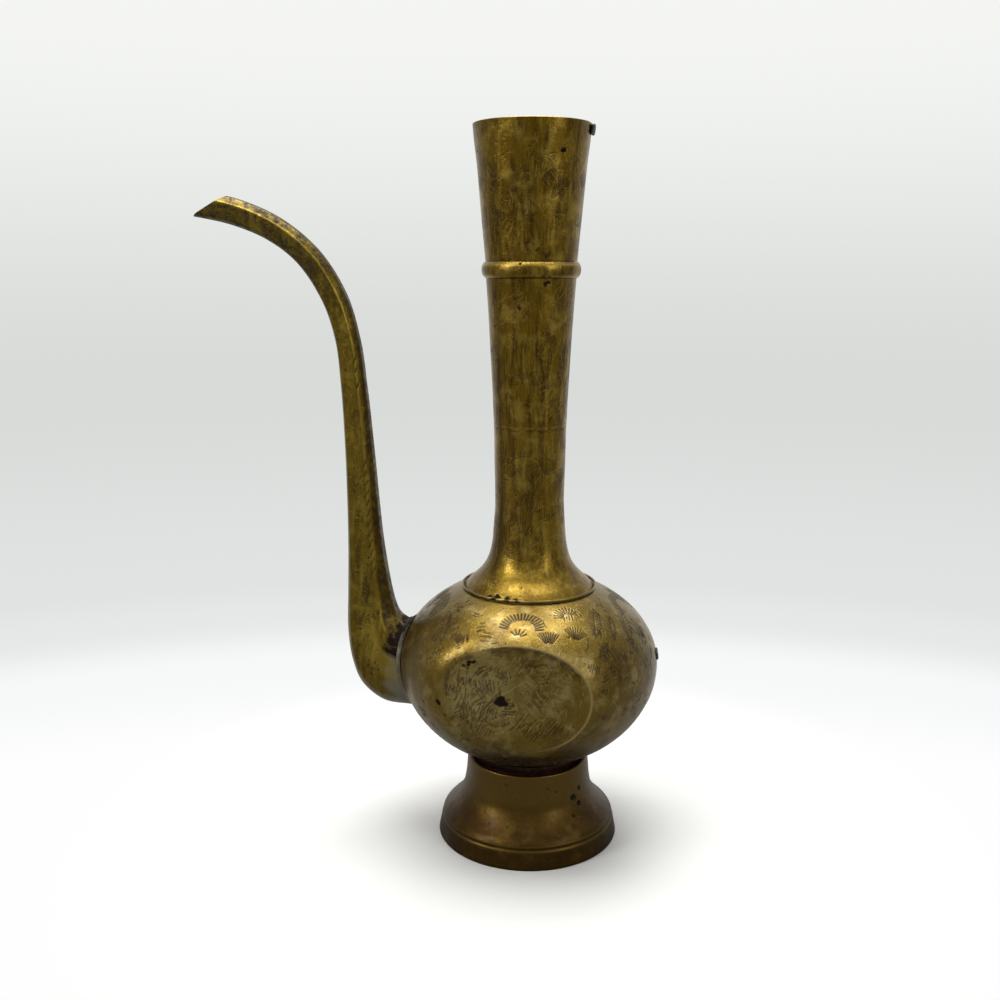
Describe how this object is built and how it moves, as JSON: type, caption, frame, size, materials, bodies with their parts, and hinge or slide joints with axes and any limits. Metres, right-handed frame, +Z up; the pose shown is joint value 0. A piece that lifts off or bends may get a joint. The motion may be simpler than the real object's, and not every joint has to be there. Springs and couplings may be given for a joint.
{
  "type": "ewer",
  "caption": "Brass ewer with a turned foot, a bowl flattened on two sides, a flared neck and a swan-neck spout; the handle is lost.",
  "frame": {"origin": "middle of the whole ewer's outline, on the surface that it stands on", "axes": "+Z up the vessel's turning axis; the spout points to -X; the flattened sides of the bowl face -Y and +Y"},
  "size_m": [0.2166, 0.1016, 0.33],
  "materials": {
    "aged_brass": "worn, olive patina with engraved ornament",
    "warm_brass": "worn, warm brown patina",
    "spout_brass": "worn, olive patina",
    "dark_solder": "dark tarnished braze",
    "grey_solder": "dull grey soft solder"
  },
  "bodies": {
    "root": {"foot": "warm_brass", "stem_ring": "dark_solder", "lower_bowl": "aged_brass", "upper_bowl": "aged_brass", "shoulder_wire": "aged_brass", "lower_neck": "aged_brass", "upper_neck": "aged_brass", "neck_bead": "aged_brass", "mouth_funnel": "aged_brass", "rim_handle_stub": "dark_solder", "bowl_handle_stub": "dark_solder", "spout_left_half": "spout_brass", "spout_right_half": "spout_brass", "spout_flange": "grey_solder"}
  },
  "joints": []
}
